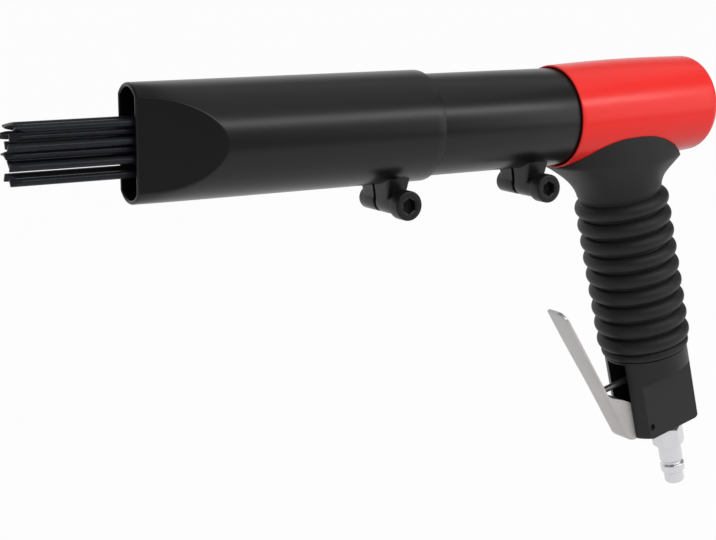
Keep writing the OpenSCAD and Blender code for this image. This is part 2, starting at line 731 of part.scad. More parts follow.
module handle() {
    color([0.1, 0.1, 0.11]) difference() {
        union() {
            difference() {
                in_handle() bar_down(saddle_top, base_top + over, bar_r);
                bar_x(-handle_setback - front_tube_len, -handle_setback + front_tube_len, barrel_seat_r);
            }
            in_handle() {
                bar_down(spigot_top + fit_gap, first_rib, spigot_r);
                base();
            }
        }
        in_handle() {
            translate([0, 0, -pin_drop]) translate([pin_ahead, 0, 0])
                bar_y(-base_r, base_r, pin_d / 2 + fit_gap);
            throttle_bar(-base_r - over, 0, chamber_d / 2);
            throttle_bar(-over, seat_hole_d / 2 + passage_d / 2, seat_hole_d / 2);
            throttle_bar(0, slot_floor + over, plunger_r + fit_gap);
            throttle_bar(seal_at - seal_round, seal_at + seal_round, plunger_r + 2 * seal_round + fit_gap);
            bar_down(0, throttle_drop, passage_d / 2);
            translate([-nipple_behind, 0, 0]) {
                bar_down(throttle_drop, base_foot, passage_d / 2);
                bar_down(base_foot - nipple_thread_len, base_foot + over, nipple_body_d / 2 + fit_gap);
            }
        }
    }
}

// Foot of the handle: a round bar with side flats, a rounded foot and a slot for the lever
module base() {
    difference() {
        union() {
            bar_down(base_top, base_foot - base_round, base_r);
            translate([0, 0, -base_foot + base_round]) rotate_extrude() polygon(concat(
                [[0, 0]], corner(base_r - base_round, 0, base_round, 0, -90), [[0, -base_round]]));
        }
        for (side = [-1, 1]) intersection() {
            translate([-2 * base_r, side * (base_flat_w / 2 + base_r) - base_r, -base_foot - over])
                cube([4 * base_r, 2 * base_r, base_flat_len + 2 * over]);
            translate([-flat_arc_back, 0, -base_foot + base_flat_len - flat_arc_r])
                bar_y(-2 * base_flat_w, 2 * base_flat_w, flat_arc_r);
        }
        translate([slot_floor, -slot_half, -base_foot - over])
            cube([2 * base_r, slot_w, base_foot - base_top - slot_collar + over]);
    }
}

// Ring of the collar at height share f: 0 at its foot and 1 at its brim
collar_sides = 48;
collar_steps = 8;
collar_flare = 2.2;
function turn_y(p, a) = [p[0] * cos(a) + p[2] * sin(a), p[1], -p[0] * sin(a) + p[2] * cos(a)];
function collar_ring(f) = let (
    foot = [-handle_setback - collar_foot * sin(handle_rake), 0, -collar_foot * cos(handle_rake)],
    brim = [-handle_setback - collar_brim * tan(handle_rake) + collar_lead, 0, -collar_brim],
    grow = pow(min(1, f), collar_flare),
    a = collar_foot_r + (collar_half_len - collar_foot_r) * grow,
    b = collar_foot_r + (collar_half_w - collar_foot_r) * grow,
    centre = foot + (brim - foot) * f)
    [for (i = [0 : collar_sides - 1]) let (t = -360 * i / collar_sides)
        centre + turn_y([a * cos(t), b * sin(t), 0], handle_rake * (1 - min(1, f)))];

module grip_sleeve() {
    color([0.09, 0.09, 0.095]) difference() {
        union() {
            loft(concat([for (k = [0 : collar_steps]) collar_ring(k / collar_steps)], [collar_ring(2)]));
            in_handle() {
                bar_down(collar_foot - rib_pitch / 2, grip_end, (bar_r + rib_r - rib_round / 2) / 2);
                for (k = [0 : rib_count - 1]) translate([0, 0, -first_rib - rib_pitch * k])
                    rotate_extrude() translate([rib_r - rib_round, 0]) circle(r = rib_round);
                translate([0, 0, -grip_end + lip_round]) rotate_extrude()
                    translate([bar_r + lip_round / 2, 0]) circle(r = lip_round);
            }
        }
        in_handle() bar_down(0, base_foot, bar_r + fit_gap);
        cover_form(-free_gap, collar_half_len);
        in_handle() bar_down(grip_end, base_foot, 2 * rib_r);
    }
}

// Points of a round corner about a centre, from angle a0 to a1
corner_steps = 6;
function corner(cx, cy, r, a0, a1) =
    [for (k = [0 : corner_steps]) let (a = a0 + (a1 - a0) * k / corner_steps)
        [cx + r * cos(a), cy + r * sin(a)]];

// Front outline of the lever's sheet: wide above, drawn in to the flanges below
module lever_outline() {
    big = blade_corner_r;
    small = blade_small_corner_r;
    rotate([90, 0, 90]) linear_extrude(height = 2 * flange_len, center = true) polygon(concat(
        corner(blade_half - big, blade_top - big, big, 0, 90),
        corner(-blade_half + small, blade_top - small, small, 90, 180),
        [[-blade_half, flange_len * 1.5], [-flange_half, flange_len], [-flange_half, -flange_len],
         [flange_half, -flange_len], [flange_half, flange_len], [blade_half, flange_len * 1.5]]));
}

// Side profile of the sheet: a straight blade, a bend and a heel that lies under the base
module lever_profile() {
    along = [-cos(lever_lean), -sin(lever_lean)];
    end = lever_lean - 90;
    outer = corner(bend_x, bend_z, heel_bend_r + sheet, 0, end);
    inner = corner(bend_x, bend_z, heel_bend_r, end, 0);
    heel = (heel_reach + bend_s) * along;
    translate([0, blade_w, 0]) rotate([90, 0, 0]) linear_extrude(height = 2 * blade_w) polygon(concat(
        [[blade_ahead, blade_top + over]], outer, [outer[corner_steps] + heel, inner[0] + heel], inner,
        [[inner_face, blade_top + over]]));
}

// Outline shares of a flange, across from the pin to the blade and up along the blade
flange_across_shares = [1, 0.92, 0.62, 0.12, -0.42];
flange_up_shares = [1, 0.86, 0.74, 0.56, 0.34];
module lever_flange() {
    edge = [for (k = [0 : len(flange_up_shares) - 1])
        [flange_across_shares[k] * (inner_face + sheet / 2), flange_up_shares[k] * flange_len]];
    rotate([90, 0, 0]) linear_extrude(height = sheet) polygon(concat(edge,
        [[-flange_boss_r, 0], [0, -flange_boss_r], [bend_x, bend_z - heel_bend_r - sheet / 2],
         [inner_face, bend_z - heel_bend_r / 2], [inner_face + sheet / 2, bend_z]]));
    bar_y(-sheet, 0, flange_boss_r);
}

module lever() {
    color([0.72, 0.7, 0.7]) in_lever() difference() {
        union() {
            intersection() {
                lever_profile();
                lever_outline();
            }
            translate([0, flange_half, 0]) lever_flange();
            translate([0, sheet - flange_half, 0]) lever_flange();
        }
        bar_y(-slot_w, slot_w, pin_d / 2 + 2 * fit_gap);
    }
}

module lever_pin() {
    half = base_flat_w / 2 - pin_recess;
    color([0.6, 0.6, 0.6]) in_handle() translate([pin_ahead, 0, -pin_drop]) bar_y(-half, half, pin_d / 2);
}

module valve_plunger() {
    color([0.12, 0.12, 0.12]) in_handle() {
        throttle_bar(poppet_front - poppet_len / 2, plunger_tip, plunger_r);
        translate([plunger_tip, 0, -throttle_drop]) sphere(r = plunger_r);
        throttle_bar(poppet_rear, poppet_front, poppet_d / 2);
    }
}

module valve_seat() {
    color([0.78, 0.65, 0.35]) in_handle() difference() {
        throttle_bar(-seat_len, -fit_gap, chamber_d / 2 - fit_gap);
        throttle_bar(-seat_len - over, over, seat_hole_d / 2);
    }
}

module plunger_seal() {
    color([0.08, 0.08, 0.08]) in_handle() translate([seal_at, 0, -throttle_drop]) rotate([0, 90, 0])
        rotate_extrude() translate([plunger_r + fit_gap + seal_round, 0]) circle(r = seal_round - fit_gap / 2);
}

module throttle_spring() {
    front = poppet_rear - free_gap - throttle_wire / 2;
    rear = plug_front + free_gap + throttle_wire / 2;
    color([0.7, 0.7, 0.7]) in_handle() translate([0, 0, -throttle_drop])
        coil_x(rear, front, throttle_spring_r, throttle_wire, throttle_turns);
    echo(str("least gap of the throttle spring: ", (front - rear) / throttle_turns - throttle_wire));
}

module valve_plug() {
    color([0.55, 0.55, 0.55]) in_handle() difference() {
        throttle_bar(plug_rear, plug_front, chamber_d / 2 - fit_gap);
        translate([plug_rear - over, 0, -throttle_drop]) rotate([0, 90, 0])
            cylinder(h = over + (plug_front - plug_rear) / 2, r = socket_w / sqrt(3), $fn = 6);
    }
}

module nipple() {
    hex_top = base_foot + nipple_neck_len;
    hex_foot = hex_top + hex_len;
    body_foot = hex_foot + nipple_body_len;
    ring_foot = body_foot + nipple_ring_len;
    nose_foot = ring_foot + nipple_nose_len;
    body_r = nipple_body_d / 2;
    ring_r = nipple_ring_d / 2;
    nose_r = nipple_nose_d / 2;
    bevel = body_r - nose_r;
    hex_corner_r = hex_w / sqrt(3);
    hex_fall = (hex_corner_r - hex_w / 2) / 2;
    color([0.8, 0.8, 0.8]) in_handle() translate([-nipple_behind, 0, 0]) difference() {
        union() {
            bar_down(base_foot - nipple_thread_len + fit_gap, hex_top, body_r);
            translate([0, 0, -hex_foot]) intersection() {
                cylinder(h = hex_len, r = hex_corner_r, $fn = 6);
                rotate_extrude() polygon([[0, 0], [hex_w / 2, 0], [hex_corner_r, hex_fall],
                    [hex_corner_r, hex_len - hex_fall], [hex_w / 2, hex_len], [0, hex_len]]);
            }
            rotate_extrude() polygon([[0, -hex_foot + over], [body_r, -hex_foot + over],
                [body_r, -body_foot + bevel], [nose_r, -body_foot], [nose_r, -body_foot - bevel],
                [ring_r, -body_foot - 2 * bevel], [ring_r, -ring_foot + bevel], [nose_r, -ring_foot],
                [nose_r, -nose_foot + bevel], [nose_r - bevel, -nose_foot], [0, -nose_foot]]);
        }
        bar_down(base_foot - nipple_thread_len - over, nose_foot + over, nipple_bore_d / 2);
    }
}

module inlet_screen() {
    top = base_foot - nipple_thread_len - free_gap - passage_d;
    wall = passage_d / 10;
    color([0.75, 0.6, 0.3]) in_handle() translate([-nipple_behind, 0, 0]) difference() {
        bar_down(top, top + passage_d, passage_d / 2 - fit_gap);
        bar_down(top + wall, top + passage_d + over, passage_d / 2 - wall);
    }
}

front_tube();
front_clamp_screw();
mid_tube();
rear_clamp_screw();
spring_retainer();
return_spring();
needle_holder();
anvil();
anvil_buffer();
hammer_cylinder();
piston();
valve_plate();
valve_disc();
valve_cap();
rear_cover();
handle();
grip_sleeve();
lever();
lever_pin();
valve_plunger();
valve_seat();
plunger_seal();
throttle_spring();
valve_plug();
nipple();
inlet_screen();
for (i = [0 : needle_count - 1])
    needle(i);
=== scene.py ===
import math
import bpy
import bmesh
import numpy as np
from mathutils import Matrix


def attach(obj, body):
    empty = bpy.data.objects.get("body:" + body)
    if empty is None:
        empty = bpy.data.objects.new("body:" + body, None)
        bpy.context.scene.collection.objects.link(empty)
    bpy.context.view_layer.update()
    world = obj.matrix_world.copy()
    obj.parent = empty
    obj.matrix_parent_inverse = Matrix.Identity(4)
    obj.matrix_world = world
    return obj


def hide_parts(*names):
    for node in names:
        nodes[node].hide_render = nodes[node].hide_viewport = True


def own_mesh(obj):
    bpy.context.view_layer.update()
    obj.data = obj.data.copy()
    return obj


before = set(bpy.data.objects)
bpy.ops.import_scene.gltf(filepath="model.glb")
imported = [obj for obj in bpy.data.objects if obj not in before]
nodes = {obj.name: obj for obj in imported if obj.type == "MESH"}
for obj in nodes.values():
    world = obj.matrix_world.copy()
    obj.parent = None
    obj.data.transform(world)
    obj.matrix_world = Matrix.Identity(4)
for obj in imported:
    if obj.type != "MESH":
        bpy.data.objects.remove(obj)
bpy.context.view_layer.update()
mm = 0.001
print("frame loaded:", len(nodes), "nodes")

# where the photo was taken from, and the pale paper under and behind the tool
stand = dict(camera=(299.0, 530.8, 66.0), yaw=-31.29, pitch=-11.21, focalPixels=1565.0, photoWidth=716.0,
             sensor=36.0, clip=(0.01, 200.0), floorDrop=-0.186, floorHalf=40.0, floorFront=0.55,
             floorColour=(0.5, 0.5, 0.5), shadowShare=0.03, worldGrey=0.56, paperWhite=1.0,
             backdropWhite=1.0, roomGrey=0.2, backdropFrom=-0.85, backdropTo=-0.35)
# softboxes: place, aim, size in metres and power in watts
softboxes = dict(
    strip=dict(at=(-0.40, 0.90, 0.55), aim=(-0.40, 0.0, 0.0), size=(1.46, 0.20), watts=5.4),
    side=dict(at=(-1.20, 0.95, 0.28), aim=(-0.05, 0.0, 0.0), size=(0.9, 1.0), watts=4.2),
    top=dict(at=(-0.50, 0.20, 1.10), aim=(-0.10, 0.0, 0.0), size=(1.6, 1.0), watts=2.5))
white = (1, 1, 1, 1)


def emptyTree(owner):
    owner.use_nodes = True
    owner.node_tree.nodes.clear()
    return owner.node_tree


def mixShaders(tree, share, lower, upper):
    mix = tree.nodes.new("ShaderNodeMixShader")
    tree.links.new(share, mix.inputs[0])
    tree.links.new(lower.outputs[0], mix.inputs[1])
    tree.links.new(upper.outputs[0], mix.inputs[2])
    return mix


def whiteShare(tree):
    # 1 for rays that should see plain white paper: from the camera, in a reflection or through glass
    path = tree.nodes.new("ShaderNodeLightPath")
    total = path.outputs["Is Camera Ray"]
    for kind in ("Is Glossy Ray", "Is Transmission Ray"):
        both = tree.nodes.new("ShaderNodeMath")
        both.operation = "MAXIMUM"
        tree.links.new(total, both.inputs[0])
        tree.links.new(path.outputs[kind], both.inputs[1])
        total = both.outputs[0]
    return total


def addAimed(name, data, at, back):
    # camera or lamp: its Z axis points back from what it looks at, and its X axis is level
    back = np.array(back) / np.linalg.norm(back)
    side = np.cross([0, 0, 1.0], back)
    side /= np.linalg.norm(side)
    pose = np.eye(4)
    pose[:3, 0], pose[:3, 1], pose[:3, 2], pose[:3, 3] = side, np.cross(back, side), back, at
    aimed = bpy.data.objects.new(name, data)
    bpy.context.scene.collection.objects.link(aimed)
    aimed.matrix_world = Matrix(pose.tolist())
    return aimed


def placeCamera():
    # direction of view from yaw and pitch
    yaw, pitch = math.radians(stand["yaw"]), math.radians(stand["pitch"])
    look = np.array([math.cos(pitch) * math.sin(yaw), -math.cos(pitch) * math.cos(yaw), math.sin(pitch)])
    data = bpy.data.cameras.new("photoCamera")
    data.sensor_fit = "HORIZONTAL"
    data.sensor_width = stand["sensor"]
    data.lens = stand["focalPixels"] * stand["sensor"] / stand["photoWidth"]
    data.clip_start, data.clip_end = stand["clip"]
    bpy.context.scene.camera = addAimed("photoCamera", data, np.array(stand["camera"]) * mm, -look)


def layFloor():
    half, front, z = stand["floorHalf"], stand["floorFront"], stand["floorDrop"]
    mesh = bpy.data.meshes.new("floor")
    corners = [(-half, -half, z), (half, -half, z), (half, front, z), (-half, front, z)]
    mesh.from_pydata(corners, [], [(0, 1, 2, 3)])
    floor = bpy.data.objects.new("floor", mesh)
    bpy.context.scene.collection.objects.link(floor)
    material = bpy.data.materials.new("floorPaper")
    tree = emptyTree(material)
    out = tree.nodes.new("ShaderNodeOutputMaterial")
    paper = tree.nodes.new("ShaderNodeBsdfDiffuse")
    paper.inputs["Color"].default_value = (*stand["floorColour"], 1)
    glow = tree.nodes.new("ShaderNodeEmission")
    glow.inputs["Color"].default_value = white
    glow.inputs["Strength"].default_value = stand["paperWhite"]
    # a small share of the paper takes shadow, the rest glows white
    share = tree.nodes.new("ShaderNodeMath")
    share.operation = "MULTIPLY"
    share.inputs[1].default_value = 1.0 - stand["shadowShare"]
    tree.links.new(whiteShare(tree), share.inputs[0])
    tree.links.new(mixShaders(tree, share.outputs[0], paper, glow).outputs[0], out.inputs["Surface"])
    mesh.materials.append(material)


def addBackground(tree, strength):
    shade = tree.nodes.new("ShaderNodeBackground")
    shade.inputs["Color"].default_value = white
    shade.inputs["Strength"].default_value = strength
    return shade


def lightStand():
    world = bpy.data.worlds.new("studio")
    bpy.context.scene.world = world
    tree = emptyTree(world)
    out = tree.nodes.new("ShaderNodeOutputWorld")
    # plain grey room for diffuse rays; in a reflection the backdrop is white and the room before it is dark
    place = tree.nodes.new("ShaderNodeTexCoord")
    axes = tree.nodes.new("ShaderNodeSeparateXYZ")
    tree.links.new(place.outputs["Generated"], axes.inputs[0])
    fade = tree.nodes.new("ShaderNodeMapRange")
    fade.interpolation_type = "SMOOTHSTEP"
    fade.inputs["From Min"].default_value = stand["backdropFrom"]
    fade.inputs["From Max"].default_value = stand["backdropTo"]
    fade.inputs["To Min"].default_value = stand["backdropWhite"]
    fade.inputs["To Max"].default_value = stand["roomGrey"]
    tree.links.new(axes.outputs["Y"], fade.inputs["Value"])
    room = addBackground(tree, stand["roomGrey"])
    tree.links.new(fade.outputs[0], room.inputs["Strength"])
    paper = addBackground(tree, stand["paperWhite"])
    path = tree.nodes.new("ShaderNodeLightPath")
    shade = addBackground(tree, stand["worldGrey"])
    for kind, upper in (("Is Glossy Ray", room), ("Is Transmission Ray", paper), ("Is Camera Ray", paper)):
        shade = mixShaders(tree, path.outputs[kind], shade, upper)
    tree.links.new(shade.outputs[0], out.inputs["Surface"])
    for name, box in softboxes.items():
        data = bpy.data.lights.new(name + "Softbox", "AREA")
        data.shape = "RECTANGLE"
        data.size, data.size_y = box["size"]
        data.energy = box["watts"]
        addAimed(name + "Softbox", data, box["at"], np.array(box["at"]) - np.array(box["aim"]))


placeCamera()
layFloor()
lightStand()
bpy.context.scene.view_settings.view_transform = "Standard"
print("stand ready")

# one look per finish: mottle is the share by which colour and roughness wander, grain and bump are the fine
# skin
finishes = dict(
    tubeEnamel=dict(colour=(0.0085, 0.0085, 0.0087), rough=0.29, metal=0.0, spec=0.28,
                    grain=700, bump=0.012, mottle=0.02),
    coverRed=dict(colour=(0.84, 0.026, 0.021), rough=0.25, metal=0.0, spec=0.24,
                  grain=500, bump=0.008, mottle=0.012),
    handleBlack=dict(colour=(0.0125, 0.0125, 0.013), rough=0.42, metal=0.0, spec=0.28,
                     grain=1100, bump=0.05, mottle=0.06),
    gripRubber=dict(colour=(0.0118, 0.0118, 0.0122), rough=0.52, metal=0.0, spec=0.26,
                    grain=1600, bump=0.08, mottle=0.08),
    leverSteel=dict(colour=(0.50, 0.48, 0.475), rough=0.34, metal=0.6, spec=0.5,
                    grain=400, bump=0.03, mottle=0.08),
    nippleZinc=dict(colour=(0.70, 0.70, 0.715), rough=0.2, metal=0.8, spec=0.5,
                    grain=300, bump=0.01, mottle=0.05),
    needleSteel=dict(colour=(0.016, 0.017, 0.022), rough=0.36, metal=0.3, spec=0.2,
                     grain=900, bump=0.03, mottle=0.1),
    screwOxide=dict(colour=(0.012, 0.012, 0.0125), rough=0.36, metal=0.1, spec=0.24,
                    grain=1200, bump=0.03, mottle=0.1),
    plungerSteel=dict(colour=(0.11, 0.11, 0.115), rough=0.24, metal=0.7, spec=0.4,
                      grain=900, bump=0.01, mottle=0.05),
    innerSteel=dict(colour=(0.5, 0.5, 0.51), rough=0.3, metal=1.0, spec=0.5,
                    grain=500, bump=0.02, mottle=0.08),
    valveBrass=dict(colour=(0.72, 0.52, 0.22), rough=0.3, metal=1.0, spec=0.5,
                    grain=500, bump=0.02, mottle=0.08))
# what all finishes share: the slow noise, the fine noise's detail and the height of its bumps in metres
skin = dict(cloudScale=45, cloudDetail=5, grainDetail=3, bumpHeight=0.0004)


def makeFinish(name):
    # slow noise moves the colour and the roughness, fine noise lifts the skin
    look = finishes[name]
    material = bpy.data.materials.new(name)
    tree = emptyTree(material)
    add, link = tree.nodes.new, tree.links.new
    out = add("ShaderNodeOutputMaterial")
    shader = add("ShaderNodeBsdfPrincipled")
    shader.inputs["Metallic"].default_value = look["metal"]
    shader.inputs["Specular IOR Level"].default_value = look["spec"]
    link(shader.outputs[0], out.inputs["Surface"])
    place = add("ShaderNodeTexCoord")
    cloud = add("ShaderNodeTexNoise")
    cloud.inputs["Scale"].default_value = skin["cloudScale"]
    cloud.inputs["Detail"].default_value = skin["cloudDetail"]
    link(place.outputs["Object"], cloud.inputs["Vector"])
    tone = add("ShaderNodeMixRGB")
    tone.inputs[1].default_value = (*[c * (1 - 2 * look["mottle"]) for c in look["colour"]], 1)
    tone.inputs[2].default_value = (*[min(1, c * (1 + 2 * look["mottle"])) for c in look["colour"]], 1)
    link(cloud.outputs[0], tone.inputs[0])
    link(tone.outputs[0], shader.inputs["Base Color"])
    spread = add("ShaderNodeMapRange")
    spread.inputs["To Min"].default_value = look["rough"] - look["mottle"]
    spread.inputs["To Max"].default_value = look["rough"] + look["mottle"]
    link(cloud.outputs[0], spread.inputs["Value"])
    link(spread.outputs[0], shader.inputs["Roughness"])
    grain = add("ShaderNodeTexNoise")
    grain.inputs["Scale"].default_value = look["grain"]
    grain.inputs["Detail"].default_value = skin["grainDetail"]
    link(place.outputs["Object"], grain.inputs["Vector"])
    bump = add("ShaderNodeBump")
    bump.inputs["Strength"].default_value = look["bump"]
    bump.inputs["Distance"].default_value = skin["bumpHeight"]
    link(grain.outputs[0], bump.inputs["Height"])
    link(bump.outputs[0], shader.inputs["Normal"])
    return material


paint = {name: makeFinish(name) for name in finishes}
# nodes that aren't named here are needles or plain inner steel
nodeFinish = dict(front_tube="tubeEnamel", mid_tube="tubeEnamel", rear_cover="coverRed",
                  handle="handleBlack", grip_sleeve="gripRubber", lever="leverSteel", nipple="nippleZinc",
                  front_clamp_screw="screwOxide", rear_clamp_screw="screwOxide", valve_plug="screwOxide",
                  valve_plunger="plungerSteel", valve_seat="valveBrass", inlet_screen="valveBrass",
                  anvil_buffer="gripRubber", plunger_seal="gripRubber", needle_holder="innerSteel")
for name, obj in nodes.items():
    finish = nodeFinish.get(name, "needleSteel" if name.startswith("needle_") else "innerSteel")
    obj.data.materials.clear()
    obj.data.materials.append(paint[finish])
print("finishes on", len(nodes), "nodes")


def blend(start, end, share):
    # even step from start to end
    return start + (end - start) * share


def smoothStep(share):
    # s-shaped step from 0 to 1
    share = np.clip(share, 0, 1)
    return share * share * (3 - 2 * share)


def gridFaces(rows, cols, closeRows=False, closeCols=False):
    # quads between neighbouring points of a grid that is stored row by row
    r, c = np.meshgrid(np.arange(rows if closeRows else rows - 1),
                       np.arange(cols if closeCols else cols - 1), indexing="ij")
    r2, c2 = (r + 1) % rows, (c + 1) % cols
    return np.stack([r * cols + c, r * cols + c2, r2 * cols + c2, r2 * cols + c], -1).reshape(-1, 4)


def gridPart(points, closeRows=False, closeCols=False):
    rows, cols = points.shape[:2]
    return points.reshape(-1, 3), gridFaces(rows, cols, closeRows, closeCols)


def addPiece(name, parts, finish, body, replaced, sharp=38, merge=2e-6):
    # parts are point and face arrays in millimetres; points closer than merge are joined, faces are turned
    # outwards and edges sharper than the angle sharp stay hard
    offsets = np.cumsum([0] + [len(p) for p, f in parts])
    points = np.concatenate([p for p, f in parts]) * mm
    faces = np.concatenate([f + o for (p, f), o in zip(parts, offsets)])
    mesh = bpy.data.meshes.new(name)
    mesh.from_pydata(points.tolist(), [], faces.tolist())
    shell = bmesh.new()
    shell.from_mesh(mesh)
    bmesh.ops.remove_doubles(shell, verts=shell.verts, dist=merge)
    bmesh.ops.recalc_face_normals(shell, faces=shell.faces)
    shell.to_mesh(mesh)
    shell.free()
    mesh.polygons.foreach_set("use_smooth", np.ones(len(mesh.polygons), bool))
    mesh.set_sharp_from_angle(angle=math.radians(sharp))
    mesh.materials.append(paint[finish])
    piece = bpy.data.objects.new(name, mesh)
    bpy.context.scene.collection.objects.link(piece)
    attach(piece, body)
    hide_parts(*replaced)
    print(name, len(mesh.polygons), "faces")
    return piece


def roundPath(corners, steps=5):
    # polyline of (across, along, radius) corners, each corner replaced by a parabola between the points that
    # lie its radius away on both sides, or half the way to the next corner where that is less
    corners = np.array(corners, float)
    path = []
    for k, r in enumerate(corners[:, 2]):
        here = corners[k, :2]
        if r == 0 or k in (0, len(corners) - 1):
            path.append(here[None])
            continue
        back, ahead = corners[k - 1, :2] - here, corners[k + 1, :2] - here
        start = here + back * min(0.5, r / np.linalg.norm(back))
        end = here + ahead * min(0.5, r / np.linalg.norm(ahead))
        t = np.linspace(0, 1, steps + 1)[:, None]
        path.append((1 - t) ** 2 * start + 2 * t * (1 - t) * here + t ** 2 * end)
    return np.concatenate(path)


def hexRadius(angle, flats):
    # distance from the middle to the side of a hexagon of that width over its flats
    step = math.pi / 3
    return flats / 2 / np.cos((angle + step / 2) % step - step / 2)


def turned(path, cols, place, hexRows=slice(0), flats=1.0):
    # surface of revolution: each (radius, height) of the path swept round, then put in its frame; hexRows are
    # cut down to a hexagon of that width over its flats
    angle = np.linspace(0, 2 * math.pi, cols, endpoint=False)
    radius = path[:, :1] + 0 * angle
    radius[hexRows] = np.minimum(radius[hexRows], hexRadius(angle, flats))
    points = place(radius * np.cos(angle), radius * np.sin(angle), path[:, 1:2] + 0 * angle)
    return gridPart(points, closeCols=True)


def slitTube(surface, ahead, behind, slitHalf, cols, slitCols=4):
    # tube whose section runs along (distance, depth) points: ahead goes from the slit's end on the outside
    # round the front to the inside, behind goes on round the rear edge; the slit stays open behind
    loop = np.concatenate([ahead, behind])
    openAngle = np.linspace(-math.pi + slitHalf, math.pi - slitHalf, cols)
    shut = np.linspace(math.pi - slitHalf, math.pi + slitHalf, slitCols)
    strip = surface(shut, ahead[:, :1], ahead[:, 1:])
    tail = np.concatenate([ahead[-1:], behind, ahead[:1]])
    half = (len(tail) + 1) // 2
    parts = [gridPart(surface(openAngle, loop[:, :1], loop[:, 1:]), closeRows=True), gridPart(strip),
             gridPart(strip[[0, -1]])]
    for edge in (openAngle[:1], openAngle[-1:]):
        wall = surface(edge, tail[:, :1], tail[:, 1:])[:, 0]
        parts.append(gridPart(np.stack([wall[:half], wall[::-1][:half]])))
    return parts


# clamp lugs under both tubes; corner and the rises are shares of the web's reach and height
lugs = dict(radius=4.7, drop=7.0, slitHalf=0.85, nearEnd=13.0, farEnd=12.0, soft=0.5, columns=56,
            webFoot=4.4, webRoot=5.5, sideFoot=8.6, sideRoot=11.6, corner=0.16, footRise=0.08,
            firstRise=0.16, rows=9, sink=0.8)


def clampLugs(x, tubeRadius):
    # each side of the slit has a turned bar along Y and a web above it: a rounded rectangle whose length and
    # reach grow from the bar to the tube, where the web follows the tube's round
    level, r, soft, inner = -tubeRadius - lugs["drop"], lugs["radius"], lugs["soft"], lugs["slitHalf"]
    corner, foot = lugs["corner"], lugs["footRise"]
    outline = roundPath([(-1, 0, 0), (1, 0, 0), (1, 1, corner), (-1, 1, corner), (-1, 0, 0)], steps=4)
    rise = np.concatenate([[foot, foot], np.linspace(lugs["firstRise"], 1, lugs["rows"]), [1]])[:, None]
    parts = []
    for side, end in ((1, lugs["nearEnd"]), (-1, lugs["farEnd"])):
        bar = roundPath([(0, inner, 0), (r, inner, soft), (r, end, soft), (0, end, 0)], steps=4)
        parts.append(turned(bar, lugs["columns"],
                            lambda a, b, along: np.stack([x + a, side * along, level + b], -1)))
        across = blend(lugs["webFoot"], lugs["webRoot"], rise ** 2) * outline[:, 0]
        out = blend(inner, blend(lugs["sideFoot"], lugs["sideRoot"], rise), outline[:, 1])
        root = -np.sqrt(tubeRadius ** 2 - out ** 2) + lugs["sink"]
        web = np.stack([x + across, side * out, blend(level, root, rise)], -1)
        web[[0, -1]] = web[[0, -1]].mean(axis=1, keepdims=True)
        parts.append(gridPart(web))
    return parts


# noseEnd and plainStart are where the close rows of the nose end and the wide ones of the plain tube start
frontTube = dict(radius=22.5, wall=1.7, mouthX=75.0, length=126.0, flatRun=30.0, mouthHalf=8.35,
                 roofRadius=10.25, roofRun=11.0, roofBend=1.4, ridgeCorner=1.3, innerCorner=0.2, lipEnd=1.2,
                 noseEnd=42.0, plainStart=44.0, slitEnd=84.0, slitRow=87.0, slitHalf=0.85, rimRound=0.5,
                 rimCut=0.1, clampX=-36.0, columns=360, lipRows=9, outerRows=(9, 84), innerRows=(42, 5),
                 rearRows=12)


def frontSkin(angle, s, depth):
    # round tube cut flat on both sides: the flat's distance h from the middle plane opens evenly from the
    # mouth. The roof above the flats is an arc that grows from the mouth's radius to the tube's, and a small
    # arc of radius c touches the flat and the roof
    t = frontTube
    top = t["radius"] - depth
    h = np.minimum(top, t["mouthHalf"] + (t["radius"] - t["mouthHalf"]) * s / t["flatRun"] - depth)
    tight = np.exp(-(s / t["roofRun"]) ** t["roofBend"]) * np.clip(1 - (s / t["flatRun"]) ** 2, 0, 1)
    roof = top - (t["radius"] - t["roofRadius"]) * tight
    middle = top - roof
    c = np.maximum(t["innerCorner"], t["ridgeCorner"] - depth)
    reach = np.sqrt(np.maximum(0, (roof - c) ** 2 - (h - c) ** 2))
    flatTop, roofFoot = middle + reach, middle + reach * roof / (roof - c)
    z = top * np.cos(angle)
    high = np.abs(z) + 0 * s
    arch = np.sqrt(np.maximum(0, roof ** 2 - np.maximum(0, high - middle) ** 2))
    corner = h - c + np.sqrt(np.maximum(0, c ** 2 - (high - flatTop) ** 2))
    y = np.where(high <= flatTop, h, np.where(high < roofFoot, corner, arch))
    y = np.minimum(y, arch)
    return np.stack([t["mouthX"] - s + 0 * y, np.sign(np.sin(angle)) * y, z + 0 * s], -1)


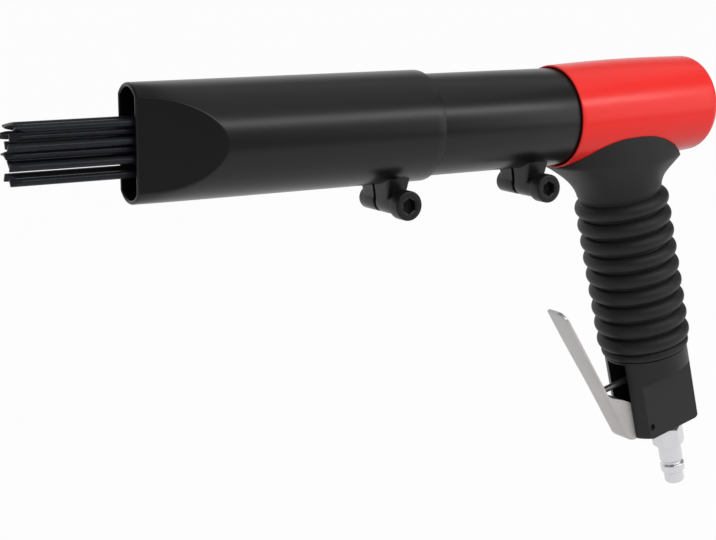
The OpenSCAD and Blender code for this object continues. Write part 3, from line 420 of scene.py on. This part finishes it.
def makeFrontTube():
    # section from the slit's end along the outside, round the mouth's lip and back inside, then round the
    # rear rim
    t = frontTube
    w, end, cut, soft = t["wall"], t["length"], t["rimCut"], t["rimRound"]
    lip = np.linspace(0, math.pi, t["lipRows"])[1:-1]
    outer = np.concatenate([np.linspace(t["slitEnd"], t["plainStart"], t["outerRows"][0]),
                            np.linspace(t["noseEnd"], t["lipEnd"], t["outerRows"][1]), [w / 2]])
    inner = np.concatenate([[w / 2], np.linspace(t["lipEnd"], t["noseEnd"], t["innerRows"][0]),
                            np.linspace(t["plainStart"], t["slitEnd"], t["innerRows"][1])])
    mouth = np.stack([w / 2 - w / 2 * np.sin(lip), w / 2 - w / 2 * np.cos(lip)], -1)
    ahead = np.concatenate([np.stack([outer, 0 * outer], -1), mouth, np.stack([inner, w + 0 * inner], -1)])
    back = np.linspace(t["slitRow"], end - soft, t["rearRows"])
    rim = np.array([[end - cut, w - cut], [end, w - soft], [end, soft], [end - cut, cut]])
    behind = np.concatenate([np.stack([back, w + 0 * back], -1), rim, np.stack([back[::-1], 0 * back], -1)])
    parts = slitTube(frontSkin, ahead, behind, math.asin(t["slitHalf"] / t["radius"]), t["columns"])
    addPiece("frontTubeShell", parts + clampLugs(t["clampX"], t["radius"]), "tubeEnamel", "front_tube",
             ["front_tube"], sharp=60)


midTube = dict(radius=20.75, wall=1.6, frontX=6.0, length=129.0, slitEnd=87.0, slitRow=90.0, slitHalf=0.85,
               lip=3.2, lipRun=2.0, noseRound=0.5, edgeRound=0.4, lipRound=0.2, rootRound=0.1,
               clampX=-105.5, columns=160)


def midSkin(angle, s, depth):
    # plain round tube
    radius = midTube["radius"] - depth
    return np.stack([midTube["frontX"] - s + 0 * angle, radius * np.sin(angle) + 0 * s,
                     radius * np.cos(angle) + 0 * s], -1)


def makeMidTube():
    # section from the slit's end along the outside, round the inner lip at the front, then round the rear
    # edge
    t = midTube
    w, lip, edge = t["wall"], t["wall"] + t["lip"], t["edgeRound"]
    ahead = roundPath([(t["slitEnd"], 0, 0), (0, 0, t["noseRound"]), (0, lip, edge),
                       (t["lipRun"], lip, t["lipRound"]), (t["lipRun"], w, t["rootRound"]),
                       (t["slitEnd"], w, 0)], steps=3)
    behind = roundPath([(t["slitRow"], w, 0), (t["length"], w, edge), (t["length"], 0, edge),
                        (t["slitRow"], 0, 0)], steps=3)
    parts = slitTube(midSkin, ahead, behind, math.asin(t["slitHalf"] / t["radius"]), t["columns"])
    addPiece("midTubeShell", parts + clampLugs(t["clampX"], t["radius"]), "tubeEnamel", "body",
             ["mid_tube"])


# socketCorner lies just outside the hexagon's corners, so that the rows with it take the hexagon's shape
screw = dict(shank=3.0, farEnd=-12.0, tipRound=0.5, seat=13.05, rootRound=0.1, head=6.0, seatRound=0.3,
             headEnd=19.0, crownRound=0.9, mouth=3.6, chamfer=3.4, chamferTop=0.05, chamferFoot=0.35,
             socket=5.6, socketCorner=3.25, socketDepth=3.6, cone=0.6, columns=72)


def makeScrew(name, x, tubeRadius, body, node):
    # turned shank and head; the rows inside the head are hexagons that end in a flat cone
    s = screw
    level, floor = -tubeRadius - lugs["drop"], s["headEnd"] - s["socketDepth"]
    outside = roundPath([(0, s["farEnd"], 0), (s["shank"], s["farEnd"], s["tipRound"]),
                         (s["shank"], s["seat"], s["rootRound"]), (s["head"], s["seat"], s["seatRound"]),
                         (s["head"], s["headEnd"], s["crownRound"]), (s["mouth"], s["headEnd"], 0)], steps=4)
    chamfer = [(s["chamfer"], s["headEnd"] - s["chamferTop"])]
    socket = [(s["socketCorner"], s["headEnd"] - s["chamferFoot"]), (s["socketCorner"], floor)]
    path = np.concatenate([outside, chamfer, socket, [(0.0, floor - s["cone"])]])
    hexRows = slice(len(outside) + len(chamfer), -1)

    def place(a, b, along):
        return np.stack([x + a, along, level + b], -1)

    parts = [turned(path, s["columns"], place, hexRows, s["socket"])]
    addPiece(name, parts, "screwOxide", body, [node], sharp=30)


handle = dict(setback=151.6, rake=math.radians(13.9))


def inHandle(ahead, left, up):
    # handle frame to part frame: up runs along the handle, ahead is square to it
    c, s = math.cos(handle["rake"]), math.sin(handle["rake"])
    return np.stack([-handle["setback"] + ahead * c + up * s, left + 0 * ahead, -ahead * s + up * c], -1)


cover = dict(setback=120.5, frontRadius=22.0, taper=0.9, lift=2.6, length=78.4, wall=1.0, edge=4.4,
             bulge=0.7, rim=0.5, columns=192, edgeRows=13, rimRows=9, sideRows=34)
coverTilt = math.atan(cover["lift"] / cover["length"])


def inCover(up, left, along):
    # cover frame to part frame: its axis leans up to the rear
    c, s = math.cos(coverTilt), math.sin(coverTilt)
    return np.stack([-cover["setback"] - along * c + up * s, left, along * s + up * c], -1)


def coverRadius(along):
    # even taper with a half wave of bulge between the front and the rear edge
    share = np.clip(along / (cover["length"] - cover["edge"]), 0, 1)
    return (cover["frontRadius"] - cover["taper"] * along / cover["length"]
            + cover["bulge"] * np.sin(math.pi * share))


def aboveCover(points):
    # distance of points outside the cover's skin
    c, s = math.cos(coverTilt), math.sin(coverTilt)
    dx = points[..., 0] + cover["setback"]
    along = -dx * c + points[..., 2] * s
    up = dx * s + points[..., 2] * c
    return np.hypot(up, points[..., 1]) - coverRadius(along)


def makeCover():
    # turned shell: rear disc, round rear edge, bulged side, rolled front rim and the same again inside
    w, rim, end = cover["wall"], cover["rim"], cover["length"]
    edgeAlong = end - cover["edge"]
    turn = np.linspace(math.pi / 2, 0, cover["edgeRows"])
    roll = np.linspace(0, math.pi, cover["rimRows"])
    side = np.linspace(edgeAlong, rim, cover["sideRows"])[1:]

    def rear(depth):
        e = cover["edge"] - depth
        return np.stack([coverRadius(edgeAlong) - cover["edge"] + e * np.cos(turn),
                         edgeAlong + e * np.sin(turn)], -1)

    lip = np.stack([coverRadius(rim) - w / 2 + w / 2 * np.cos(roll), rim - rim * np.sin(roll)], -1)
    outer = np.stack([coverRadius(side), side], -1)
    inner = np.stack([coverRadius(side) - w, side], -1)
    path = np.concatenate([[[0, end]], rear(0), outer, lip, inner[::-1], rear(w)[::-1], [[0, end - w]]])
    addPiece("rearCoverShell", [turned(path, cover["columns"], inCover)], "coverRed", "body",
             ["rear_cover"], sharp=45)


# ribbed sleeve, its end lip, and the saddle collar from its foot on the sleeve to its brim under the cover
grip = dict(ribRadius=21.1, ribRound=3.7, valley=17.95, pitch=7.97, count=9, firstRib=41.26, groove=0.15,
            soften=0.5, ribRows=330, ribEnd=2.6, rowsLeft=6, bore=17.05, boreTop=24.5, boreFoot=60.0,
            end=112.5, lip=2.1, lipRadius=17.85, lipTurn=(-1.3, 1.1), lipRows=11, lipFace=0.4,
            foot=36.6, footRadius=19.0, halfLength=33.4, halfWidth=20.4, brim=20.6,
            brimTilt=math.radians(3.0), boxy=0.5, lead=1.0, flare=2.2, flankRows=30, flankBend=0.8,
            brimRound=3.2, rearBend=1.5, lobeBack=0.8, lobeDepth=8.6, lobeReach=6.9, lobeBend=1.9,
            lobeEnd=16.0, lobeFade=6.0, rimIn=(1.6, 0.5, 0.12), rimDrop=0.1, rimAim=30.0, rimLevel=0.2,
            gap=0.3, gapShares=(0.3, 2.0), halvings=40, columns=168)


def fillOut(wave, power):
    # a power below 1 fills the wave out towards its corners
    return np.sign(wave) * np.abs(wave) ** power


def collarPoint(f, angle):
    # ring at height share f: a circle at the foot that grows to the long, slightly boxy brim and turns
    # nearly level
    g, rake = grip, handle["rake"]
    low = np.minimum(1, f)
    grow = low ** g["flare"]
    power = 2 / (2 + g["boxy"] * grow)
    a = blend(g["footRadius"], g["halfLength"], grow) * fillOut(np.cos(angle), power)
    b = blend(g["footRadius"], g["halfWidth"], grow) * fillOut(np.sin(angle), power)
    footX, footZ = -handle["setback"] - g["foot"] * math.sin(rake), -g["foot"] * math.cos(rake)
    brimX = -handle["setback"] - g["brim"] * math.tan(rake) + g["lead"]
    tilt = rake * (1 - low) + g["brimTilt"] * low
    return np.stack([blend(footX, brimX, f) + a * np.cos(tilt), b + 0 * f,
                     blend(footZ, -g["brim"], f) - a * np.sin(tilt)], -1)


def makeCollar(angle):
    # rows from the soft rim under the cover down to the foot
    g = grip
    # height share where the collar meets the cover, halved down to the right place for every column at once
    low, high = [np.full(angle.shape, share) for share in g["gapShares"]]
    for step in range(g["halvings"]):
        middle = (low + high) / 2
        outside = aboveCover(collarPoint(middle, angle)) > g["gap"]
        low, high = np.where(outside, middle, low), np.where(outside, high, middle)
    flank = collarPoint(low * np.linspace(1, 0, g["flankRows"])[:-1, None] ** g["flankBend"], angle)
    # the rear brim is rolled over: its rows draw in along a quarter circle below the cover
    under = np.clip(1 - (flank[:1, :, 2] - flank[:, :, 2]) / g["brimRound"], 0, 1)
    rearward = np.clip(-np.cos(angle), 0, 1) ** g["rearBend"]
    flank[:, :, 0] += g["brimRound"] * (1 - np.sqrt(1 - under ** 2)) * rearward
    # below the roll the lobe is filled out: from its tip it draws in by a bell curve of the depth below it
    below = np.maximum(0, flank[:1, :, 2] - g["brimRound"] - flank[:, :, 2])
    bell = 1 - np.exp(-(below / g["lobeReach"]) ** g["lobeBend"])
    lobe = np.where(below > 0, flank[:, :, 0].min(axis=0) + g["lobeDepth"] * bell, flank[:, :, 0])
    fade = np.clip((g["lobeEnd"] - below) / g["lobeFade"], 0, 1)
    flank[:, :, 0] += (lobe + g["lobeBack"] - flank[:, :, 0]) * rearward * fade
    # soft rim: the top edge drawn in by a little, towards a point on the handle's axis
    top = flank[0]
    inward = inHandle(0 * angle, 0 * angle, -g["rimAim"] + 0 * angle) - top
    inward[:, 2] *= g["rimLevel"]
    inward /= np.linalg.norm(inward, axis=1)[:, None]
    rim = np.stack([top + share * inward for share in g["rimIn"]])
    rim[0] -= [0, 0, g["rimDrop"]]
    return np.concatenate([rim, flank])


def makeGrip():
    g = grip
    angle = np.linspace(0, 2 * math.pi, g["columns"], endpoint=False)
    # ribs: circle arcs of one radius on an even pitch, with the grooves softened by a smooth maximum of the
    # two nearest arcs; the last rows are left to the end lip
    depth = np.linspace(g["foot"], g["end"] - g["ribEnd"], g["ribRows"])[1:-g["rowsLeft"]]
    middle = g["firstRib"] + g["pitch"] * np.arange(g["count"])
    off = np.abs(depth[:, None] - middle)
    arcs = g["ribRadius"] - g["ribRound"] + np.sqrt(np.maximum(0, g["ribRound"] ** 2 - off ** 2))
    near = np.sort(arcs, axis=1)[:, ::-1][:, :2]
    ribs = near[:, 0] + g["groove"] * np.exp(-(near[:, 0] - near[:, 1]) / g["groove"]) * g["soften"]
    ribs = np.maximum(ribs, g["valley"])
    turn = np.linspace(*g["lipTurn"], g["lipRows"])
    lip = np.stack([g["lipRadius"] + g["lip"] * np.cos(turn),
                    g["end"] - g["lip"] + g["lip"] * np.sin(turn)], -1)
    bore = [[g["lipRadius"] + g["lipFace"], g["end"]], [g["bore"], g["end"]], [g["bore"], g["boreFoot"]],
            [g["bore"], g["boreTop"]]]
    path = np.concatenate([np.stack([ribs, depth], -1), lip, bore])
    sleeve = inHandle(path[:, :1] * np.cos(angle), path[:, :1] * np.sin(angle), -path[:, 1:] + 0 * angle)
    points = np.concatenate([makeCollar(angle), sleeve])
    addPiece("gripSleeveSkin", [gridPart(points, closeRows=True, closeCols=True)], "gripRubber", "body",
             ["grip_sleeve"], sharp=50)


# chamfer holds the (radius, height) rows of a cone that takes the hexagon's corners off
nipple = dict(behind=4.8, top=142.05, body=5.4, hexTop=155.0, hexFoot=164.0, hexFlats=13.0, hexFace=6.2,
              chamfer=((6.5, 0), (6.85, 0.2), (7.2, 0.42), (7.6, 0.8)), neckTop=171.8, groove=4.6,
              slope=0.8, ring=5.6, ringTop=173.4, ringFoot=177.6, mouth=3.8, bore=2.5, foot=183.8, columns=96)


def makeNipple():
    # turned rows; inside the hexagon each row is the smaller of the hexagon and a chamfer cone
    n = nipple
    body, groove, slope = n["body"], n["groove"], n["slope"]
    head = roundPath([(n["bore"], n["top"], 0), (body, n["top"], 0.6), (body, n["hexTop"], 0.1),
                      (n["hexFace"], n["hexTop"], 0)], steps=3)
    chamfer = np.array(n["chamfer"])
    hexPath = np.concatenate([chamfer + [0, n["hexTop"]], chamfer[::-1] * [1, -1] + [0, n["hexFoot"]]])
    tail = roundPath([(n["hexFace"], n["hexFoot"], 0), (body, n["hexFoot"], 0.3), (body, n["neckTop"], 0.4),
                      (groove, n["neckTop"] + slope, 0.3), (groove, n["ringTop"], 0.3),
                      (n["ring"], n["ringTop"] + slope, 0.4), (n["ring"], n["ringFoot"], 0.5),
                      (groove, n["ringFoot"] + slope, 0.4), (groove, n["foot"] - slope, 0.4),
                      (n["mouth"], n["foot"], 0.3), (n["bore"], n["foot"], 0.2),
                      (n["bore"], n["top"], 0)], steps=4)
    path = np.concatenate([head, hexPath, tail])
    hexRows = slice(len(head), len(head) + len(hexPath))

    def place(a, b, depth):
        return inHandle(a - n["behind"], b, -depth)

    parts = [turned(path, n["columns"], place, hexRows, n["hexFlats"])]
    addPiece("nippleTurned", parts, "nippleZinc", "body", ["nipple"], sharp=28)


# shoulder holds the (x, z, radius) corners of a flange from the blade over the pin to the bend
lever = dict(pinAhead=12.7, pinDrop=145.2, lean=math.radians(18.4), ahead=10.8, sheet=1.5, top=74.1,
             halfWidth=5.9, bigCorner=4.8, smallCorner=0.3, edge=0.4, crease=1.5, creaseTop=62.0,
             creaseRun=36.0, innerCorner=0.25, flangeHalf=5.7, hole=1.6, bend=6.5, foot=6.0, heelEnd=-4.7,
             lap=0.3, tipRows=18, bladeRows=(66, 58, 50, 42), creaseRows=(38, 24, 9), lowRow=20, lowRows=6,
             lowGap=1, bendRows=17, heelRows=5, cornerRows=7, flangeFoot=15.0, flangeTop=26.0, flangeRound=0.6,
             shoulder=((8.4, 23.0, 1.8), (6.6, 21.2, 1.8), (2.6, 16.8, 3), (-2.9, 8.0, 4), (-4.4, 2.0, 3),
                       (-4.2, -2.0, 2), (-2.85, -5.9, 1.2)))


def inLever(x, y, z):
    # lever frame to part frame: origin on the pin, z up along the blade and x ahead, square to it
    c, s = math.cos(lever["lean"]), math.sin(lever["lean"])
    return inHandle(lever["pinAhead"] + x * c + z * s, y, -lever["pinDrop"] - x * s + z * c)


def makeLever():
    v = lever
    c, s = math.cos(v["lean"]), math.sin(v["lean"])
    # the bend is an arc that touches the blade's outer face and the heel's underside
    bendX = v["ahead"] - v["bend"]
    bendZ = (bendX * s - v["foot"] + v["bend"]) / c
    turn = np.linspace(0, v["lean"] - math.pi / 2, v["bendRows"])
    # stations down the blade, round the bend and along the heel: place of the outer face and its inward
    # normal
    arch = np.linspace(math.pi / 2, 0, v["tipRows"])
    z = np.concatenate([v["top"] - v["bigCorner"] * (1 - np.sin(arch)), v["bladeRows"],
                        np.linspace(*v["creaseRows"]),
                        np.linspace(v["lowRow"], bendZ + v["lowGap"], v["lowRows"])])
    heel = np.linspace(0, bendX * c + bendZ * s - v["heelEnd"], v["heelRows"])[1:]
    spot = np.concatenate([
        np.stack([v["ahead"] + 0 * z, z], -1),
        np.stack([bendX + v["bend"] * np.cos(turn), bendZ + v["bend"] * np.sin(turn)], -1),
        np.array([bendX + v["bend"] * s, bendZ - v["bend"] * c]) - heel[:, None] * [c, s]])
    normal = -np.stack([np.cos(turn), np.sin(turn)], -1)
    normal = np.concatenate([np.repeat(normal[:1], len(z), 0), normal,
                             np.repeat(normal[-1:], len(heel), 0)])
    # down the blade the sharp edges grow into the crease of the flanges
    high = spot[:, 1:]
    fold = smoothStep((v["creaseTop"] - high) / v["creaseRun"])
    crease = blend(v["edge"], v["crease"], fold)
    half = blend(v["halfWidth"], v["flangeHalf"], fold)

    def reach(radius):
        # half width with a corner of that radius at the tip
        over = np.clip(high - v["top"] + radius, 0, radius)
        return half - radius + np.sqrt(radius ** 2 - over ** 2)

    # section loop: outer corner of the crease's radius, a small inner corner, then the same on the other
    # side
    q = np.linspace(0, math.pi / 2, v["cornerRows"])
    inner = np.minimum(v["innerCorner"], v["sheet"] - crease)
    across = np.concatenate([crease * (1 - np.sin(q)), inner * (1 - np.cos(q))], 1)
    depth = np.concatenate([crease * (1 - np.cos(q)), v["sheet"] - inner + inner * np.sin(q)], 1)
    y = np.concatenate([reach(v["bigCorner"]) - across, across[:, ::-1] - reach(v["smallCorner"])], 1)
    depth = np.concatenate([depth, depth[:, ::-1]], 1)
    # both ends are closed by a row in the middle of the sheet
    order = np.concatenate([[0], np.arange(len(spot)), [len(spot) - 1]])
    y, depth, spot, normal = y[order], depth[order], spot[order], normal[order]
    depth[[0, -1]] = v["sheet"] / 2
    strip = inLever(spot[:, :1] + depth * normal[:, :1], y, spot[:, 1:] + depth * normal[:, 1:])
    parts = [gridPart(strip, closeCols=True)]
    # flanges: washers whose outline runs up the blade, over a hollow shoulder, round the pin and along the
    # bend
    side = v["ahead"] - v["crease"] + v["lap"]
    low = v["bend"] - v["crease"] + v["lap"]
    bottom = np.stack([bendX + low * np.cos(turn[::-1]), bendZ + low * np.sin(turn[::-1]), 0 * turn], -1)
    start = (side, v["flangeFoot"], 0)
    outline = roundPath([start, (side, v["flangeTop"], v["flangeRound"]), *v["shoulder"], *bottom.tolist(),
                         start], steps=6)[:-1]
    far = np.linalg.norm(outline, axis=1)[:, None]
    hole, inset = outline * v["hole"] / far, outline * (1 - v["lap"] / far)
    rings = np.stack([hole, inset, outline, outline, inset, hole])
    level = v["flangeHalf"] - np.array([0, 0, v["lap"], v["sheet"] - v["lap"], v["sheet"], v["sheet"]])
    for sign in (1, -1):
        flange = inLever(rings[..., 0], sign * level[:, None] + 0 * rings[..., 0], rings[..., 1])
        parts.append(gridPart(flange, closeRows=True, closeCols=True))
    addPiece("leverSheet", parts, "leverSteel", "lever", ["lever"], sharp=40)


# rear and front are the ends of the wire's middle line; fixed is the end that stays, and keep the share of
# the length that is left at the joint's limit
returnSpring = dict(rear=-44.9, front=-1.71, radius=17.05, wire=1.2, turns=9, fixed=-0.51, keep=0.825)
throttleSpring = dict(rear=-14.26, front=-6.24, radius=3.6, wire=0.3, turns=4, drop=123.5, fixed=-14.56,
                      keep=0.3)


def coil(spring, place, stepsPerTurn=28, sides=10):
    # round wire swept along an even helix, drawn to a point at both ends
    share = np.linspace(0, 1, stepsPerTurn * spring["turns"] + 1)
    share = np.concatenate([[0], share, [1]])[:, None]
    angle = 2 * math.pi * spring["turns"] * share
    wire = np.full(share.shape, spring["wire"])
    wire[[0, -1]] = 0
    q = np.linspace(0, 2 * math.pi, sides, endpoint=False)
    radius = spring["radius"] + wire * np.cos(q)
    along = blend(spring["rear"], spring["front"], share) + wire * np.sin(q)
    return gridPart(place(radius * np.cos(angle), radius * np.sin(angle), along), closeCols=True)


def makeSprings():
    # each spring is a coil of round wire on a mesh of its own
    s = returnSpring
    parts = [coil(s, lambda a, b, along: np.stack([along, a, b], -1))]
    piece = addPiece("returnSpringCoil", parts, "innerSteel", "body", ["return_spring"])
    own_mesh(piece)
    s = throttleSpring
    parts = [coil(s, lambda a, b, along: inHandle(along, a, b - s["drop"]))]
    piece = addPiece("throttleSpringCoil", parts, "innerSteel", "body", ["throttle_spring"])
    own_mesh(piece)


makeFrontTube()
makeMidTube()
makeSprings()
makeLever()
makeScrew("frontClampScrew", frontTube["clampX"], frontTube["radius"], "front_tube", "front_clamp_screw")
makeScrew("rearClampScrew", midTube["clampX"], midTube["radius"], "body", "rear_clamp_screw")
makeCover()
makeGrip()
makeNipple()
print("pieces made")
